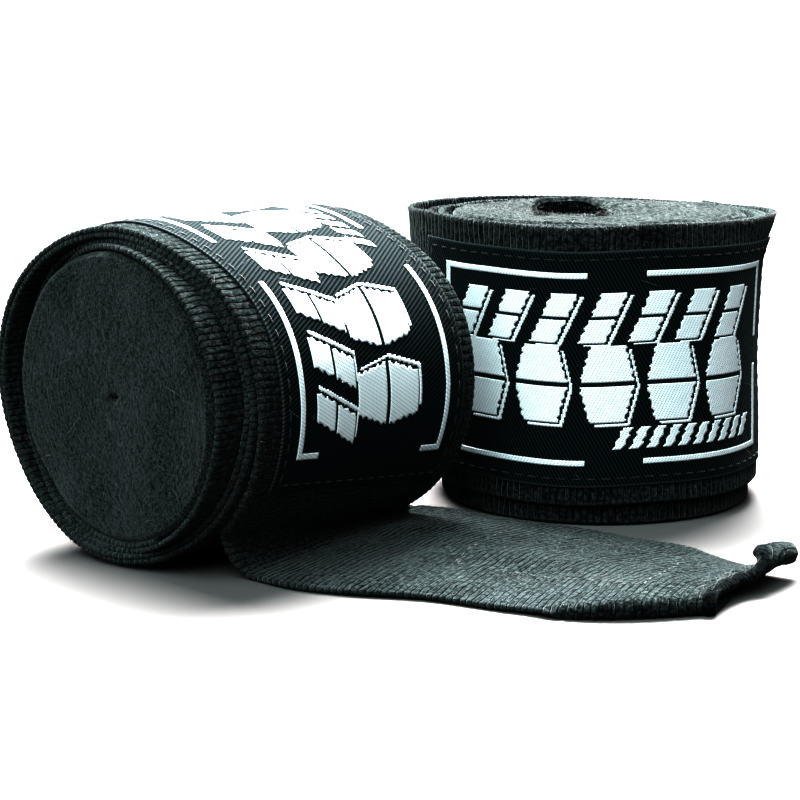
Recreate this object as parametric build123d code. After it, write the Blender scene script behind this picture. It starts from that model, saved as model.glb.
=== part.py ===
from build123d import *

import math
import os

# A pair of boxing hand wraps: one wrap lies on its side with its last turn run out over the
# floor as a loose tail, and the other stands upright behind it.  Millimetres, +Z up.
# The layout is drawn from the floor point under the lying wrap's near end, with +Y along that
# wrap's axis and the tail on the +X side, and is moved onto its bounding box's bottom centre
# just before it is written.

# The strip, shared by both wraps
STRIP_WIDTH = 50.0
STRETCHED_WIDTH = 46.3
STRIP_THICK = 0.9
LABEL_LENGTH = 74.0
LABEL_WIDTH = 39.0
LABEL_THICK = 0.4
LABEL_INSET = 4.0
PATCH_LENGTH = 40.0
HOOK_PATCH_WIDTH = 25.0
LOOP_PATCH_WIDTH = 38.0
PATCH_THICK = 0.8
THREAD_WIDTH = 0.5
THREAD_HEIGHT = 0.2
STITCH_MARGIN = 1.4
HEM_WIDTH = 2.4
HEM_THICK = 1.5

# The thumb loop folded flat in the eye of each wound roll
LOOP_FOLD_LENGTH = 9.0
LOOP_FOLD_THICK = 1.9
LOOP_RECESS = 2.0
LOOP_PLY_GAP = 0.1
TACK_LEVELS = (0.2, 0.5, 0.8)

# The lying wrap
LYING_RADIUS = 26.8
LYING_TURN_SHIFT = 6.0
LYING_EYE_LENGTH = 10.0
LYING_EYE_WIDTH = 2.8
LEAVE_ANGLE = -48.0
TURN_END_ANGLE = 295.0
LYING_LABEL_START = -27.0
LYING_PATCH_START = 160.0

# The loose tail, measured from where the strip meets the floor
TAIL_HEADING = 20.0
TAIL_ROOT_X = 22.5
TAIL_NEAR_Y = 10.5
TAIL_HINGE_AT = 22.0
TAIL_ROOT_WIDTH = 47.5
TAIL_LENGTH = 46.5
TAIL_PATCH_AT = 1.5
HEM_NEAR = 13.0
HEM_FAR = 36.0
CURL_RADIUS = 1.9
CURL_BACK = 3.0
CURL_RISE = 2.5
CURL_ROOT = 28.0
CURL_TIP = 39.0
JOINT_GAP = 0.5

# The tail's outline (along from its hinge, across from its near edge): it narrows to its end,
# because its near margin turns under and its far margin rolls up
TAIL_OUTLINE = [
    (0.0, 0.0),
    (23.0, 0.0),
    (35.0, 4.0),
    (TAIL_LENGTH, HEM_NEAR),
    (TAIL_LENGTH, HEM_FAR),
    (39.0, 37.5),
    (21.0, 45.0),
    (0.0, TAIL_ROOT_WIDTH),
]

# The standing wrap
STANDING_X = 18.8
STANDING_Y = 92.7
STANDING_RADIUS = 28.9
STANDING_HEIGHT = 50.0
STANDING_TURN_LIFT = 3.9
STANDING_EYE_LENGTH = 12.0
STANDING_EYE_WIDTH = 6.5
STANDING_EYE_OFFSET = 2.0
STANDING_EYE_TURN = 50.0
STANDING_LOOP_LOW = 1.0
STANDING_LOOP_HEIGHT = 45.0
STANDING_LABEL_START = -119.0
TAB_HINGE_ANGLE = 202.0
TAB_END_ANGLE = 74.0
TAB_PATCH_BACK = 2.0
TAB_RUNNING_GAP = 0.3
TURN_END_BACK = 4.0
CUT_OVERSHOOT = 1.0


def arc_angle(length, radius):
    """Return the angle in degrees that a length covers on a radius."""
    return math.degrees(length / radius)


def polar(radius, angle):
    """Return the point at a radius and an angle in degrees."""
    return (radius * math.cos(math.radians(angle)), radius * math.sin(math.radians(angle)))


def band(inner, outer, start, end, width):
    """Return a curved band about the Z axis, from z = 0 up to its width."""
    outside = CenterArc((0, 0), outer, start, end - start)
    inside = CenterArc((0, 0), inner, start, end - start)
    outline = [outside, Line(outside @ 1, inside @ 1), inside, Line(inside @ 0, outside @ 0)]
    return extrude(make_face(outline), width)


def band_stitching(radius, start, end, low, high):
    """Return four thread lines just inside the border of a curved patch."""
    margin = arc_angle(STITCH_MARGIN, radius)
    thread = arc_angle(THREAD_WIDTH, radius)
    top = radius + THREAD_HEIGHT
    first = start + margin
    last = end - margin
    bottom = low + STITCH_MARGIN
    upper = high - STITCH_MARGIN
    side = upper - bottom - 2 * THREAD_WIDTH
    lines = [
        Pos(0, 0, bottom) * band(radius, top, first, last, THREAD_WIDTH),
        Pos(0, 0, upper - THREAD_WIDTH) * band(radius, top, first, last, THREAD_WIDTH),
        Pos(0, 0, bottom + THREAD_WIDTH) * band(radius, top, first, first + thread, side),
        Pos(0, 0, bottom + THREAD_WIDTH) * band(radius, top, last - thread, last, side),
    ]
    return Compound(lines)


def flat_stitching(length, width):
    """Return four thread lines just inside the border of a flat patch, centred on z = 0 up."""
    along = length - 2 * STITCH_MARGIN
    across = width - 2 * STITCH_MARGIN
    side = across - 2 * THREAD_WIDTH
    raised = (Align.CENTER, Align.CENTER, Align.MIN)
    lines = []
    for sign in (-1, 1):
        at_y = sign * (across - THREAD_WIDTH) / 2
        at_x = sign * (along - THREAD_WIDTH) / 2
        lines.append(Pos(0, at_y, 0) * Box(along, THREAD_WIDTH, THREAD_HEIGHT, align=raised))
        lines.append(Pos(at_x, 0, 0) * Box(THREAD_WIDTH, side, THREAD_HEIGHT, align=raised))
    return Compound(lines)


def thumb_loop(height):
    """Return the thumb loop folded flat on edge: two plies joined by a round fold."""
    ply = LOOP_FOLD_THICK / 2 - LOOP_PLY_GAP
    outline = SlotOverall(LOOP_FOLD_LENGTH, LOOP_FOLD_THICK)
    hollow = SlotOverall(LOOP_FOLD_LENGTH - 2 * ply, LOOP_FOLD_THICK - 2 * ply)
    return extrude(outline - hollow, height)


def thumb_loop_stitching(height):
    """Return the bar tacks that close the thumb loop, on one of its flat faces."""
    raised = (Align.CENTER, Align.MIN, Align.CENTER)
    tacks = []
    for level in TACK_LEVELS:
        tack = Box(LOOP_FOLD_LENGTH / 2, THREAD_HEIGHT, THREAD_WIDTH, align=raised)
        tacks.append(Pos(0, LOOP_FOLD_THICK / 2, level * height) * tack)
    return Compound(tacks)


def lay_down(shape, near_y, width):
    """Turn a roll piece from its own upright frame onto the lying wrap's axis."""
    return Pos(0, near_y + width, LYING_RADIUS) * Rot(90, 0, 0) * shape


def lying_wound_parts():
    """Return the lying wrap's inner turns and the folded thumb loop in their eye."""
    radius = LYING_RADIUS - STRIP_THICK
    eye = extrude(SlotOverall(LYING_EYE_LENGTH, LYING_EYE_WIDTH), STRIP_WIDTH)
    turns = extrude(Circle(radius), STRIP_WIDTH) - eye
    height = STRIP_WIDTH - 2 * LOOP_RECESS
    loop = Pos(0, 0, LOOP_RECESS) * thumb_loop(height)
    tacks = Pos(0, 0, LOOP_RECESS) * thumb_loop_stitching(height)
    return {
        "lying_inner_turns": lay_down(turns, 0.0, STRIP_WIDTH),
        "lying_thumb_loop": lay_down(loop, 0.0, STRIP_WIDTH),
        "lying_thumb_loop_stitching": lay_down(tacks, 0.0, STRIP_WIDTH),
    }


def tail_point(along, across, height=0.0):
    """Return a floor point of the tail: along its heading, then across towards its far edge."""
    heading = math.radians(TAIL_HEADING)
    x = TAIL_ROOT_X + along * math.cos(heading) - across * math.sin(heading)
    y = TAIL_NEAR_Y + along * math.sin(heading) + across * math.cos(heading)
    return (x, y, height)


def lying_outer_turn():
    """Return the last turn: round the roll, then off its flank in a tight bend to the floor."""
    outer = LYING_RADIUS
    inner = LYING_RADIUS - STRIP_THICK
    middle = (outer + inner) / 2
    sine = math.sin(math.radians(LEAVE_ANGLE))
    bend = (LYING_RADIUS + middle * sine - STRIP_THICK / 2) / (1 - sine)
    centre = polar(middle + bend, LEAVE_ANGLE)
    floor = -LYING_RADIUS
    landing = centre[0]
    sweep = TURN_END_ANGLE - LEAVE_ANGLE
    bend_start = LEAVE_ANGLE + 180
    bend_sweep = 270 - bend_start
    outline = [
        CenterArc((0, 0), outer, LEAVE_ANGLE, sweep),
        CenterArc((0, 0), inner, LEAVE_ANGLE, sweep),
        Line(polar(outer, TURN_END_ANGLE), polar(inner, TURN_END_ANGLE)),
        CenterArc(centre, bend - STRIP_THICK / 2, bend_start, bend_sweep),
        CenterArc(centre, bend + STRIP_THICK / 2, bend_start, bend_sweep),
        Line((landing, floor), (TAIL_ROOT_X, floor)),
        Line((landing, floor + STRIP_THICK), (TAIL_ROOT_X, floor + STRIP_THICK)),
        Line((TAIL_ROOT_X, floor), (TAIL_ROOT_X, floor + STRIP_THICK)),
    ]
    turn = extrude(make_face(outline), STRETCHED_WIDTH)
    turn = lay_down(turn, LYING_TURN_SHIFT, STRETCHED_WIDTH)
    apron_corners = [
        (TAIL_ROOT_X, LYING_TURN_SHIFT),
        tail_point(TAIL_HINGE_AT - JOINT_GAP, 0)[:2],
        tail_point(TAIL_HINGE_AT - JOINT_GAP, TAIL_ROOT_WIDTH)[:2],
        (TAIL_ROOT_X, LYING_TURN_SHIFT + STRETCHED_WIDTH),
    ]
    apron = extrude(make_face(Polyline(*apron_corners, close=True)), STRIP_THICK)
    return turn + apron


def lying_surface_parts():
    """Return the label and the loop patch sewn on the lying wrap's last turn."""
    radius = LYING_RADIUS
    label_top = radius + LABEL_THICK
    label_end = LYING_LABEL_START + arc_angle(LABEL_LENGTH, radius)
    label = band(radius, label_top, LYING_LABEL_START, label_end, LABEL_WIDTH)
    threads = band_stitching(label_top, LYING_LABEL_START, label_end, 0.0, LABEL_WIDTH)
    patch_top = radius + PATCH_THICK
    patch_end = LYING_PATCH_START + arc_angle(PATCH_LENGTH, radius)
    patch = band(radius, patch_top, LYING_PATCH_START, patch_end, LOOP_PATCH_WIDTH)
    seams = band_stitching(patch_top, LYING_PATCH_START, patch_end, 0.0, LOOP_PATCH_WIDTH)
    label_y = LYING_TURN_SHIFT + LABEL_INSET
    patch_y = LYING_TURN_SHIFT + (STRETCHED_WIDTH - LOOP_PATCH_WIDTH) / 2
    return {
        "lying_label": lay_down(label, label_y, LABEL_WIDTH),
        "lying_label_stitching": lay_down(threads, label_y, LABEL_WIDTH),
        "lying_loop_patch": lay_down(patch, patch_y, LOOP_PATCH_WIDTH),
        "lying_loop_patch_stitching": lay_down(seams, patch_y, LOOP_PATCH_WIDTH),
    }


def tail_strip():
    """Return the loose tail: a flat strip raised over its hook patch, with a curled corner."""
    corners = [tail_point(TAIL_HINGE_AT + along, across) for along, across in TAIL_OUTLINE]
    strip = Pos(0, 0, PATCH_THICK) * extrude(make_face(Polyline(*corners, close=True)), STRIP_THICK)
    base = CURL_RADIUS + PATCH_THICK
    reach = TAIL_HINGE_AT + TAIL_LENGTH - CURL_BACK
    root = tail_point(reach, CURL_ROOT, base)
    tip = tail_point(reach, CURL_TIP, base + CURL_RISE)
    run = Vector(*tip) - Vector(*root)
    curl = Plane(origin=root, z_dir=run) * Cylinder(
        CURL_RADIUS, run.length, align=(Align.CENTER, Align.CENTER, Align.MIN)
    )
    return strip + curl


def tail_parts():
    """Return the tail strip, the hem on its end and the hook patch sewn under it."""
    turned = Rot(0, 0, TAIL_HEADING)
    raised = (Align.CENTER, Align.CENTER, Align.MIN)
    hem_length = HEM_FAR - HEM_NEAR
    hem_across = (HEM_FAR + HEM_NEAR) / 2
    hem_along = TAIL_HINGE_AT + TAIL_LENGTH + HEM_WIDTH / 2
    hem = Box(HEM_WIDTH, hem_length, HEM_THICK, align=raised)
    hem_base = PATCH_THICK + STRIP_THICK - HEM_THICK
    patch_along = TAIL_HINGE_AT + TAIL_PATCH_AT + PATCH_LENGTH / 2
    patch = Box(PATCH_LENGTH, HOOK_PATCH_WIDTH, PATCH_THICK, align=raised)
    seams = flat_stitching(PATCH_LENGTH, HOOK_PATCH_WIDTH)
    top = PATCH_THICK + STRIP_THICK
    return {
        "lying_tail": tail_strip(),
        "lying_end_hem": Pos(*tail_point(hem_along, hem_across, hem_base)) * turned * hem,
        "lying_hook_patch": Pos(*tail_point(patch_along, hem_across)) * turned * patch,
        "lying_hook_patch_stitching": Pos(*tail_point(patch_along, hem_across, top)) * turned * seams,
    }


def standing_wound_parts():
    """Return the standing wrap's inner turns, recessed under the closure, and its thumb loop."""
    radius = STANDING_RADIUS - STRIP_THICK
    recess = radius - 2 * PATCH_THICK - TAB_RUNNING_GAP
    under_tab = band(recess, radius + CUT_OVERSHOOT, TAB_END_ANGLE, TAB_HINGE_ANGLE, STANDING_HEIGHT)
    eye_turned = Pos(-STANDING_EYE_OFFSET, 0, 0) * Rot(0, 0, STANDING_EYE_TURN)
    eye = extrude(SlotOverall(STANDING_EYE_LENGTH, STANDING_EYE_WIDTH), STANDING_HEIGHT)
    turns = extrude(Circle(radius), STANDING_HEIGHT) - under_tab - eye_turned * eye
    at_eye = eye_turned * Pos(0, 0, STANDING_LOOP_LOW)
    return {
        "standing_inner_turns": turns,
        "standing_thumb_loop": at_eye * thumb_loop(STANDING_LOOP_HEIGHT),
        "standing_thumb_loop_stitching": at_eye * thumb_loop_stitching(STANDING_LOOP_HEIGHT),
    }


def standing_surface_parts():
    """Return the standing wrap's last turn, its label and the loop patch under the closure."""
    outer = STANDING_RADIUS
    inner = STANDING_RADIUS - STRIP_THICK
    gap = arc_angle(JOINT_GAP, outer)
    turn = band(inner, outer, TAB_HINGE_ANGLE + gap - 360, TAB_END_ANGLE - TURN_END_BACK, STRETCHED_WIDTH)
    label_top = outer + LABEL_THICK
    label_end = STANDING_LABEL_START + arc_angle(LABEL_LENGTH, outer)
    label_low = STANDING_TURN_LIFT + STRETCHED_WIDTH - LABEL_INSET - LABEL_WIDTH
    label_high = label_low + LABEL_WIDTH
    label = band(outer, label_top, STANDING_LABEL_START, label_end, LABEL_WIDTH)
    threads = band_stitching(label_top, STANDING_LABEL_START, label_end, label_low, label_high)
    patch_base = inner - 2 * PATCH_THICK - TAB_RUNNING_GAP
    patch_top = patch_base + PATCH_THICK - THREAD_HEIGHT
    patch_low = (STANDING_HEIGHT - LOOP_PATCH_WIDTH) / 2
    patch_high = patch_low + LOOP_PATCH_WIDTH
    patch_start = TAB_END_ANGLE + arc_angle(TAB_PATCH_BACK, patch_base)
    patch_end = patch_start + arc_angle(PATCH_LENGTH, patch_base)
    patch = band(patch_base, patch_top, patch_start, patch_end, LOOP_PATCH_WIDTH)
    seams = band_stitching(patch_top, patch_start, patch_end, patch_low, patch_high)
    return {
        "standing_outer_turn": Pos(0, 0, STANDING_TURN_LIFT) * turn,
        "standing_label": Pos(0, 0, label_low) * label,
        "standing_label_stitching": threads,
        "standing_loop_patch": Pos(0, 0, patch_low) * patch,
        "standing_loop_patch_stitching": seams,
    }


def closure_tab_parts():
    """Return the closure tab that ends the standing wrap, its hem and its hook patch."""
    outer = STANDING_RADIUS
    inner = STANDING_RADIUS - STRIP_THICK
    low = STANDING_TURN_LIFT
    gap = arc_angle(JOINT_GAP, outer)
    hem_angle = arc_angle(HEM_WIDTH, outer)
    tab_start = TAB_END_ANGLE + hem_angle
    tab = band(inner, outer, tab_start, TAB_HINGE_ANGLE - gap, STRETCHED_WIDTH)
    hem = band(outer - HEM_THICK, outer, TAB_END_ANGLE, tab_start, STRETCHED_WIDTH)
    patch_low = (STANDING_HEIGHT - HOOK_PATCH_WIDTH) / 2
    patch_high = patch_low + HOOK_PATCH_WIDTH
    patch_start = tab_start + arc_angle(TAB_PATCH_BACK, inner)
    patch_end = patch_start + arc_angle(PATCH_LENGTH, inner)
    patch = band(inner - PATCH_THICK, inner, patch_start, patch_end, HOOK_PATCH_WIDTH)
    seams = band_stitching(outer, patch_start, patch_end, patch_low, patch_high)
    return {
        "standing_closure_tab": Pos(0, 0, low) * tab,
        "standing_end_hem": Pos(0, 0, low) * hem,
        "standing_hook_patch": Pos(0, 0, patch_low) * patch,
        "standing_hook_patch_stitching": seams,
    }


def all_parts():
    """Return every node's shape by name, in the layout's frame."""
    parts = {}
    parts.update(lying_wound_parts())
    parts["lying_outer_turn"] = lying_outer_turn()
    parts.update(lying_surface_parts())
    parts.update(tail_parts())
    standing = {}
    standing.update(standing_wound_parts())
    standing.update(standing_surface_parts())
    standing.update(closure_tab_parts())
    for name, shape in standing.items():
        parts[name] = Pos(STANDING_X, STANDING_Y, 0) * shape
    return parts


def write_parts():
    """Move the pair onto its own bottom centre, write each node and print the joint places."""
    os.makedirs("parts", exist_ok=True)
    parts = all_parts()
    box = Compound(list(parts.values())).bounding_box()
    shift = (-box.center().X, -box.center().Y, -box.min.Z)
    for name, shape in parts.items():
        export_step(Pos(*shift) * shape, f"parts/{name}.step")
    hinge = Vector(*tail_point(TAIL_HINGE_AT, TAIL_ROOT_WIDTH / 2, PATCH_THICK)) + Vector(*shift)
    peel = polar(STANDING_RADIUS, TAB_HINGE_ANGLE)
    peel_at = Vector(STANDING_X + peel[0], STANDING_Y + peel[1], STANDING_HEIGHT / 2) + Vector(*shift)
    print("size", box.size)
    print("shift", shift)
    print("tail hinge", hinge, "heading", TAIL_HEADING)
    print("tab hinge", peel_at)


write_parts()
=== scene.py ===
import math

import bpy
import numpy as np
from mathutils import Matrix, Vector


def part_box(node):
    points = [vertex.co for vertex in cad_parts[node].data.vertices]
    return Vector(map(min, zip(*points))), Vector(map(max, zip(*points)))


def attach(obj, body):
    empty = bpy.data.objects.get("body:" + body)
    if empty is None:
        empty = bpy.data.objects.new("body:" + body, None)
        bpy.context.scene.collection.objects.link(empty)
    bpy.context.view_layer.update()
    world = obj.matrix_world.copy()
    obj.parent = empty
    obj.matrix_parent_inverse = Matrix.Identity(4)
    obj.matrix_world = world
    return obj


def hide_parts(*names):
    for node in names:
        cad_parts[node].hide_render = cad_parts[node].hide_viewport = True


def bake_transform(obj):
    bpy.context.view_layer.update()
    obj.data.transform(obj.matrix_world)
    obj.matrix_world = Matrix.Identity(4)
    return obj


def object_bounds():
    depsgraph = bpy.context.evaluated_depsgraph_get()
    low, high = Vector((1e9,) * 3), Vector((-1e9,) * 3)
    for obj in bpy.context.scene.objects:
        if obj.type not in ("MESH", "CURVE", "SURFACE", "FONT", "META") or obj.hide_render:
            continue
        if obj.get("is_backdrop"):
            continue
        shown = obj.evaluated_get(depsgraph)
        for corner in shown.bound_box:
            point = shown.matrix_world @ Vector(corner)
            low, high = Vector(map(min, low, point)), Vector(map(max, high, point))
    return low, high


# A pair of boxing hand wraps: one lies on its side with its last turn run out as a loose tail, and
# the other stands on end behind it.  Everything is built in millimetres in the frame's own axes and
# written in metres.  An angle about a roll's axis is in degrees: on the lying roll it runs from +X
# up towards +Z, and on the standing roll from +X towards +Y.

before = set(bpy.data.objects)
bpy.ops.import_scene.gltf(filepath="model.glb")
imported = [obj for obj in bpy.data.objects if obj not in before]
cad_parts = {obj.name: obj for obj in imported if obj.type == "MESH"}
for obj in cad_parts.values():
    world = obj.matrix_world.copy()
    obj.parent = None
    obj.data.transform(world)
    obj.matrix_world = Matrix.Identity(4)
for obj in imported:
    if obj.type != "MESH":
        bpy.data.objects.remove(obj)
cad_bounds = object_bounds()

MM = 0.001


def box_mm(node):
    """Return a CAD node's lowest and highest corners in millimetres."""
    low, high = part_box(node)
    return np.array(low) / MM, np.array(high) / MM


# ---------------------------------------------------------------- driving dimensions, millimetres

STRIP_THICK = 0.9
HALF_THICK = STRIP_THICK / 2
STRIP_WIDTH = 46.3
RIB_PITCH = 1.1
RIB_DEPTH = 0.17
EDGE_RIPPLE = 0.07
TURN_PITCH = 0.85
LABEL_LENGTH = 74.0
LABEL_WIDTH = 39.0
LABEL_INSET = 4.0
LABEL_THICK = 0.35
PATCH_LENGTH = 40.0
HOOK_PATCH_WIDTH = 25.0
LOOP_PATCH_WIDTH = 38.0
PATCH_THICK = 0.8
PATCH_LIFT = (STRIP_THICK + PATCH_THICK) / 2
HOOK_LENGTH = 34.0
SEAM_LIFT = HALF_THICK - 0.1
STRIP_STEP = 0.28
HEM_STEP = 0.3
RIM_STEP = 0.32
STITCH_MARGIN = 1.4

LYING_HIGH = box_mm("lying_outer_turn")[1]
CORE_LOW, CORE_HIGH = box_mm("lying_inner_turns")
LYING_X = (CORE_LOW[0] + CORE_HIGH[0]) / 2
LYING_Y = CORE_LOW[1]
LYING_RADIUS = LYING_HIGH[2] / 2
LYING_MIDDLE = LYING_RADIUS - HALF_THICK
LYING_UNDER = LYING_RADIUS - 2.0
LYING_WIDE = 1.018
LYING_FLAT = 0.982
LYING_LOOSE = 0.55
LYING_WOBBLE = 0.12
LYING_CORE_RADIUS = 22.7
LYING_WIDTH = 50.0
LEAVE_ANGLE = -46.0
LEAVE_SLANT = 14.0
TURN_END_ANGLE = 295.0
RIM_TURNS = 3.0
LYING_RIM_WIDTH = 47.5
BEND_LENGTH = 9.0
LYING_LABEL_START = -27.0
LYING_PATCH_START = 160.0

STANDING_LOW, STANDING_HIGH = box_mm("standing_outer_turn")
STANDING_RADIUS = 28.9
STANDING_MIDDLE = STANDING_RADIUS - HALF_THICK
STANDING_UNDER = STANDING_RADIUS - 2.5
STANDING_X = STANDING_HIGH[0] - STANDING_RADIUS
STANDING_Y = STANDING_LOW[1] + STANDING_RADIUS
STANDING_CORE_RADIUS = 25.0
STANDING_HEIGHT = 50.0
STANDING_RIM_WIDTH = 49.2
UNDER_TURN_WIDTH = 47.5
STANDING_RIM_SWEEP = 780.0
STANDING_TURN_LIFT = 3.9
BACK_GAP = 5.0
PATCH_RECESS = 1.95
STANDING_LABEL_START = -119.0
TAB_HINGE_ANGLE = 202.0
TAB_END_ANGLE = 74.0
TAB_OVERLAP = 9.0

TAIL_HEADING = math.radians(20.0)
TAIL_ROOT_X = LYING_X + 22.5
TAIL_ROOT_Y = LYING_Y + 10.5
TAIL_HINGE_AT = 22.0
TAIL_END_AT = 67.0
TWILL_PITCH = 0.62
PICK_PITCH = 0.31
SATIN_PITCH = 0.56


# ---------------------------------------------------------------- numbers and noise


def hashed(ix, iy, iz, seed):
    """Return a repeatable random number from -1 to 1 for each lattice point."""
    n = ix * 374761393 + iy * 668265263 + iz * 1442695041 + seed * 974634277
    n = (n ^ (n >> 13)) * 1274126177
    n = n ^ (n >> 16)
    return (n & 0xFFFFFF) / float(0x7FFFFF) - 1.0


def noise(points, size, seed):
    """Return smooth noise from -1 to 1 at points, with features about size across."""
    scaled = np.asarray(points, float) / size
    cell = np.floor(scaled).astype(np.int64)
    part = scaled - cell
    part = part * part * (3 - 2 * part)
    total = 0.0
    for dx in (0, 1):
        wx = part[..., 0] if dx else 1 - part[..., 0]
        for dy in (0, 1):
            wy = part[..., 1] if dy else 1 - part[..., 1]
            for dz in (0, 1):
                wz = part[..., 2] if dz else 1 - part[..., 2]
                corner = hashed(cell[..., 0] + dx, cell[..., 1] + dy, cell[..., 2] + dz, seed)
                total = total + wx * wy * wz * corner
    return total


def smooth(low, high, value):
    """Return 0 below low and 1 above high, with a smooth step between them."""
    part = np.clip((value - low) / (high - low), 0, 1)
    return part * part * (3 - 2 * part)


def curve(value, places, levels):
    """Return a smooth curve through levels at places, flat beyond its ends."""
    places, levels = np.asarray(places, float), np.asarray(levels, float)
    slopes = np.gradient(levels, places)
    value = np.clip(value, places[0], places[-1])
    i = np.clip(np.searchsorted(places, value) - 1, 0, len(places) - 2)
    run = places[i + 1] - places[i]
    t = (value - places[i]) / run
    start = levels[i] * (2 * t**3 - 3 * t**2 + 1) + slopes[i] * run * (t**3 - 2 * t**2 + t)
    return start + levels[i + 1] * (3 * t**2 - 2 * t**3) + slopes[i + 1] * run * (t**3 - t**2)


def bump(value, middle, reach):
    """Return 1 at the middle angle, easing to 0 at reach degrees to either side."""
    away = np.abs((value - middle + 180) % 360 - 180)
    return 1 - smooth(0.0, reach, away)


def unit(vectors):
    """Return vectors scaled to length one."""
    return vectors / np.maximum(np.linalg.norm(vectors, axis=-1, keepdims=True), 1e-12)


def stack(u, v, w=0.0):
    """Return coordinates stacked as points."""
    u, v, w = np.broadcast_arrays(u, v, w)
    return np.stack([u, v, w], axis=-1)


# ---------------------------------------------------------------- meshes


def make_piece(name, points, quads, uvs=None, material=None, material_index=None):
    """Make a smooth mesh object from points in millimetres and quads or triangles."""
    quads = np.asarray(quads, np.int32)
    mesh = bpy.data.meshes.new(name)
    sides = quads.shape[1]
    mesh.vertices.add(len(points))
    mesh.vertices.foreach_set("co", (np.asarray(points, float) * MM).ravel())
    mesh.loops.add(quads.size)
    mesh.loops.foreach_set("vertex_index", quads.ravel())
    mesh.polygons.add(len(quads))
    mesh.polygons.foreach_set("loop_start", np.arange(0, quads.size, sides, dtype=np.int32))
    mesh.polygons.foreach_set("use_smooth", np.ones(len(quads), bool))
    if uvs is not None:
        layer = mesh.uv_layers.new(name="cloth")
        layer.data.foreach_set("uv", np.asarray(uvs, float).ravel())
    if material_index is not None:
        mesh.polygons.foreach_set("material_index", np.asarray(material_index, np.int32))
    mesh.update()
    mesh.validate()
    piece = bpy.data.objects.new(name, mesh)
    bpy.context.scene.collection.objects.link(piece)
    for one in material if isinstance(material, (list, tuple)) else [material]:
        if one is not None:
            mesh.materials.append(one)
    return piece


def ring_quads(count, size, wrap=False):
    """Return the quads between closed rings, and their corners as (ring, place) pairs."""
    last = count if wrap else count - 1
    i = np.repeat(np.arange(last), size)
    j = np.tile(np.arange(size), last)
    corners = [(i, j), (i + 1, j), (i + 1, j + 1), (i, j + 1)]
    return np.stack([(a % count) * size + b % size for a, b in corners], axis=1), corners


def loft(name, rings, uvs, material, wrap=False, ladder=False, index=None):
    """Make a closed mesh through closed rings.  uvs has one more column than a ring has points."""
    count, size = rings.shape[:2]
    quads, corners = ring_quads(count, size, wrap)
    loop_uv = np.stack([uvs[a % count, b] for a, b in corners], axis=1)
    indices = None if index is None else np.tile(index, count if wrap else count - 1)
    if ladder:
        half = size // 2
        j = np.arange(half - 1)
        start = np.stack([j, j + 1, size - 2 - j, size - 1 - j], axis=1)
        ends = [start, (count - 1) * size + start[:, ::-1]]
        flat = uvs[:, :size].reshape(-1, 2)
        quads = np.concatenate([quads, *ends])
        loop_uv = np.concatenate([loop_uv, flat[ends[0]], flat[ends[1]]])
        if indices is not None:
            indices = np.concatenate([indices, np.zeros(2 * len(j), int)])
    return make_piece(name, rings.reshape(-1, 3), quads, loop_uv, material, indices)


def section_places(width, rows, thick):
    """Return a strip's section loop: each point's place across and its share of the half thickness."""
    edge = thick / 2
    face = np.linspace(edge, width - edge, rows)
    bead = np.radians([65, 30, -30, -65])
    start = np.radians([150, 115])
    right = width - edge + edge * np.cos(bead)
    left = edge + edge * np.cos(start)
    place = np.concatenate([left, face, right, face[::-1], left[::-1]])
    flat = np.ones(rows)
    up = np.concatenate([np.sin(start), flat, np.sin(bead), -flat, -np.sin(start[::-1])])
    return place, up


def rib_relief(u, v, width, seed):
    """Return the height of the woven ribs: strong by the selvedges and worn flatter between."""
    wander = 0.3 * noise(stack(u, v, seed * 7.0), 7.0, seed)
    crest = np.abs(np.sin(np.pi * (u + wander) / RIB_PITCH)) ** 0.6
    margin = np.minimum(v, width - v)
    worn = smooth(-0.5, 0.5, noise(stack(u, v, seed), 14.0, seed + 2))
    strength = (0.45 + 0.4 * worn) + (0.55 - 0.4 * worn) * (1 - smooth(3.5, 8.0, margin))
    nap = 0.06 * noise(stack(u, v, seed), 0.6, seed + 1) + 0.04 * noise(stack(u, v, seed), 0.35, seed + 3)
    return RIB_DEPTH * strength * (crest - 0.6) + nap


def normals(surface, u, v):
    """Return the outward normal of a surface(u, v) that runs along u and across by v."""
    step = 0.05
    along = surface(u + step, v) - surface(u - step, v)
    across = surface(u, v + step) - surface(u, v - step)
    return unit(np.cross(along, across))


def lifted(surface, u, v, lift):
    """Return points lifted off a surface(u, v) along its outward normal."""
    u, v, lift = np.broadcast_arrays(np.asarray(u, float), v, lift)
    return surface(u, v) + normals(surface, u, v) * lift[..., None]


def strip(name, surface, us, material, seed, width=STRIP_WIDTH, rows=48, thick=STRIP_THICK, ribs=1.0):
    """Make a closed strip of ribbed cloth.  surface(u, v) is its middle, v from 0 to width."""
    place, up = section_places(width, rows, thick)
    u, v = np.meshgrid(us, place, indexing="ij")
    edge = 1 - smooth(0.0, 0.9, np.minimum(v, width - v))
    ripple = EDGE_RIPPLE * ribs * edge * np.sin(2 * np.pi * u / RIB_PITCH + seed)
    shifted = v + ripple * np.sign(v - width / 2)
    relief = ribs * rib_relief(u, v, width, seed)
    height = up[None] * (thick / 2 + relief * np.abs(up)[None])
    rings = surface(u, shifted) + normals(surface, u, v) * height[..., None]
    last = np.concatenate([v, v[:, :1]], axis=1)
    if ribs > 0:
        last = np.where(last > width / 2, last + STRIP_WIDTH - width, last)
    uvs = np.stack([np.repeat(us[:, None], last.shape[1], axis=1), last], axis=-1)
    return loft(name, rings, uvs, material, ladder=True)


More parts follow.
